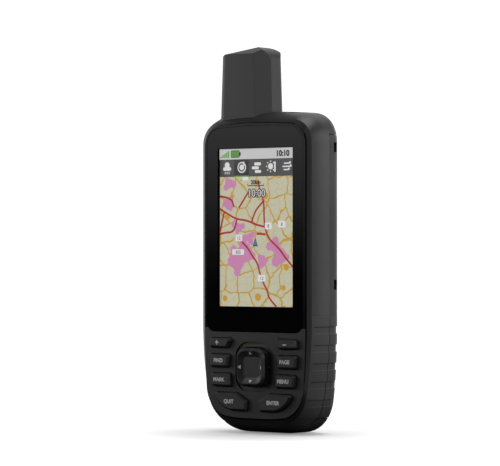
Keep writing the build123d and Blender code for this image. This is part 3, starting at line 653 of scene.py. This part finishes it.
def map_ink(numbers):
    """Made-up road numbers, the scale line with its length, and the outline of the map's clock."""
    marks = [lettering(words, *spot(u, v), level[4], 2.0 * MM) for u, v, words in numbers]
    marks.append(lettering("20km", *spot(0.49, 0.215), level[4], 2.3 * MM, bold=0.09 * MM))
    x, z = spot(0.49, 0.235)
    marks.append(tile(x, z, 8.6 * MM, 0.34 * MM, level[4]))
    for side in (-1, 1):
        marks.append(tile(x + side * 4.3 * MM, z + 0.4 * MM, 0.22 * MM, 0.9 * MM, level[4]))
    x, z = spot(0.50, 0.285)
    marks.append(lettering("10:00", x, z, level[4], 4.3 * MM, bold=0.38 * MM))
    shown("map_ink", marks, INK)
    lettering("10:00", x, z, level[5], 4.3 * MM, bold=-0.02 * MM)
    settle("map_clock", "case", SNOW)


def own_place():
    """The pointer that marks where the unit is."""
    x, z = spot(0.485, 0.60)
    disc(x, z, 2.5 * MM, level[4], corners=3, stretch=0.62)
    settle("own_place_edge", "case", NAVY)
    disc(x, z + 0.1 * MM, 1.7 * MM, level[5], corners=3, stretch=0.6)
    settle("own_place", "case", TEAL)


bars()
signal_and_charge()
status_ink()
weather_pictures()
shown("main_roads", [lane(points, 0.42 * MM, level[1]) for points in MAIN_ROADS], CRIMSON)
built_up([
    (0.12, 0.22, 2.4, 0.8), (0.34, 0.66, 4.2, 1.0), (0.22, 0.68, 3.4, 0.8), (0.24, 0.75, 2.6, 0.7),
    (0.41, 0.57, 2.4, 0.7), (0.74, 0.61, 2.6, 1.1), (0.82, 0.68, 3.4, 1.0), (0.58, 0.71, 2.2, 1.2),
    (0.25, 0.50, 2.4, 0.8), (0.115, 0.35, 2.3, 1.1),
])
town_centres([
    (0.615, 0.30, 1.7), (0.10, 0.43, 1.5), (0.52, 0.94, 1.7), (0.90, 0.75, 1.5),
    (0.86, 0.88, 1.2), (0.07, 0.95, 1.3), (0.17, 0.30, 1.0),
])
road_shields([
    (0.26, 0.565, 3.6, 2.6), (0.57, 0.82, 4.0, 2.7), (0.66, 0.49, 3.6, 2.8),
    (0.84, 0.48, 3.8, 2.8), (0.25, 0.655, 6.4, 2.3), (0.35, 0.19, 3.2, 1.4),
])
map_ink([
    (0.26, 0.567, "12"), (0.57, 0.822, "12"), (0.66, 0.492, "8"), (0.84, 0.482, "8"), (0.25, 0.657, "305"),
])
own_place()

# ---------------------------------------------------------------- printing on the keys
PRINT = moulding("legend_white", grey(0.75), 0.6, grain=4000.0, depth=0.1)
# for each key, its word, the height of the type and how far the word is off the key's middle
KEY_WORDS = {
    "zoom_in": ("+", 3.6, -1.2),
    "find": ("FIND", 2.2, -0.1),
    "page": ("PAGE", 2.2, -0.6),
    "mark": ("MARK", 2.2, -0.5),
    "menu": ("MENU", 2.2, -0.7),
    "quit": ("QUIT", 2.2, -0.7),
    "enter": ("ENTER", 2.2, -0.4),
}
for key, (words, size, aside) in KEY_WORDS.items():
    low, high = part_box("key_" + key)
    mid = (low + high) / 2
    lettering(words, mid.x + aside * MM, mid.z, low.y, size * MM, bold=0.09 * MM)
    settle("legend_" + key, key + "_button", PRINT)
low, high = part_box("key_zoom_out")
mid = (low + high) / 2
tile(mid.x - 0.2 * MM, mid.z - 0.2 * MM, 1.9 * MM, 0.5 * MM, low.y)
settle("legend_zoom_out", "zoom_out_button", PRINT)

# ---------------------------------------------------------------- light, floor and camera
VIEW_TURN = radians(39.73)
ahead = Vector((-sin(VIEW_TURN), cos(VIEW_TURN), 0))
across = Vector((cos(VIEW_TURN), sin(VIEW_TURN), 0))
aim = Vector((0.4 * MM, lens_low.y, (lcd_low.z + lcd_high.z) / 2))
bpy.ops.object.select_all(action="DESELECT")
DISTANCE = 1.186  # from the camera to the display's cover
FRAME_WIDTH = 36.0
FOCAL_PER_WIDTH = 5.752  # focal length over the frame's width
eye = aim - DISTANCE * ahead - 0.0021 * across - Vector((0, 0, 0.01063))
bpy.ops.object.camera_add(location=eye, rotation=(radians(90), 0, VIEW_TURN))
camera = bpy.context.object
camera.data.sensor_width = FRAME_WIDTH
camera.data.lens = FOCAL_PER_WIDTH * FRAME_WIDTH
camera.data.shift_y = 0.0398
bpy.context.scene.camera = camera
bpy.context.scene.view_settings.view_transform = "Standard"


def softbox(name, place, target, width, height, power):
    """A rectangular soft light aimed at a point."""
    bpy.ops.object.light_add(type="AREA", location=place)
    light = bpy.context.object
    light.name = name
    light.data.shape = "RECTANGLE"
    light.data.size = width
    light.data.size_y = height
    light.data.energy = power
    light.rotation_euler = (Vector(target) - Vector(place)).to_track_quat("-Z", "Y").to_euler()
    return light


softbox("left_window", (-0.34, -0.17, 0.16), (0, 0, 0.09), 0.16, 0.22, 0.40)
softbox("side_window", (0.9, 0.75, 0.35), (0, 0, 0.08), 0.9, 0.9, 5.6)
softbox("top_window", (0.1, 0.1, 1.0), (0, 0, 0.1), 0.7, 0.7, 6.0)
softbox("rear_fill", (-0.25, 1.2, 0.2), (0, 0, 0.1), 0.6, 0.4, 1.3)
softbox("front_fill", (1.0, -0.62, 0.42), (0, 0, 0.1), 0.5, 0.5, 3.3)

bpy.ops.mesh.primitive_circle_add(
    vertices=96, radius=0.6, fill_type="NGON", location=(-0.26, 0.31, -0.0002)
)
floor = bpy.context.object
floor.name = "floor"
bpy.ops.object.transform_apply(location=True, rotation=True, scale=True)
ground = Finish("floor_paper", Roughness=0.9, Emission_Strength=0.62)
# painted contact shadow: the floor's glow is darker near the foot
off_centre = ground.along("X") * ground.along("X") + ground.along("Y") * ground.along("Y")
painted_contact_shadow = ground.between(off_centre, 0.0, 0.0085, 1.0, 0.0)
ground.feed("Base Color", ground.mixed(ground.noise(40.0), grey(0.80), grey(0.82)))
open_floor = ground.mixed(ground.noise(40.0), grey(0.98), grey(1.0))
ground.feed("Emission Color", ground.mixed(painted_contact_shadow, open_floor, grey(0.36)))
floor.data.materials.append(ground.material)
floor.visible_diffuse = False
floor.visible_glossy = False

# a white room seen only directly, so that it doesn't light the object
bpy.ops.mesh.primitive_uv_sphere_add(segments=48, ring_count=24, radius=2.5, location=(0, 0, 0.1))
room = bpy.context.object
room.name = "white_room"
bpy.ops.object.transform_apply(location=True, rotation=True, scale=True)
wall = Finish("room_wall", Roughness=1.0, Emission_Strength=1.1)
wall.feed("Emission Color", wall.mixed(wall.noise(1.0), grey(0.99), grey(1.0)))
room.data.materials.append(wall.material)
room.visible_diffuse = False
room.visible_glossy = False
room.visible_transmission = False
room.visible_volume_scatter = False
room.visible_shadow = False

world = bpy.data.worlds.new("studio")
bpy.context.scene.world = world
world.use_nodes = True
links = world.node_tree.links
sky = world.node_tree.nodes


def sky_node(kind, inputs, out=0, **settings):
    made = sky.new(kind)
    for name, value in settings.items():
        setattr(made, name, value)
    for name, value in inputs.items():
        if isinstance(value, bpy.types.NodeSocket):
            links.new(value, made.inputs[name])
        else:
            made.inputs[name].default_value = value
    return made.outputs[out]


direction = sky_node("ShaderNodeTexCoord", {}, out="Generated")
behind = sky_node("ShaderNodeVectorMath", {0: direction, 1: ahead}, out="Value", operation="DOT_PRODUCT")
height = sky_node("ShaderNodeSeparateXYZ", {"Vector": direction}, out="Z")
mirrored = Vector((-sin(VIEW_TURN), -cos(VIEW_TURN), 0))
facing = sky_node("ShaderNodeVectorMath", {0: direction, 1: mirrored}, out="Value", operation="DOT_PRODUCT")


def ramp(value, low, high, top=1.0):
    inputs = {"Value": value, "From Min": low, "From Max": high, "To Max": top}
    return sky_node("ShaderNodeMapRange", inputs, interpolation_type="SMOOTHSTEP")


def times(first, second):
    return sky_node("ShaderNodeMath", {0: first, 1: second}, operation="MULTIPLY")


backdrop = times(ramp(behind, 0.35, 0.75, 1.1), ramp(height, -0.2, -0.12))
curtain = times(ramp(facing, 0.80, 0.95, 0.75), ramp(height, -0.012, 0.06))
glow = sky_node("ShaderNodeMath", {0: backdrop, 1: curtain}, operation="ADD")
links.new(glow, sky["Background"].inputs["Color"])

bpy.ops.object.select_all(action="DESELECT")
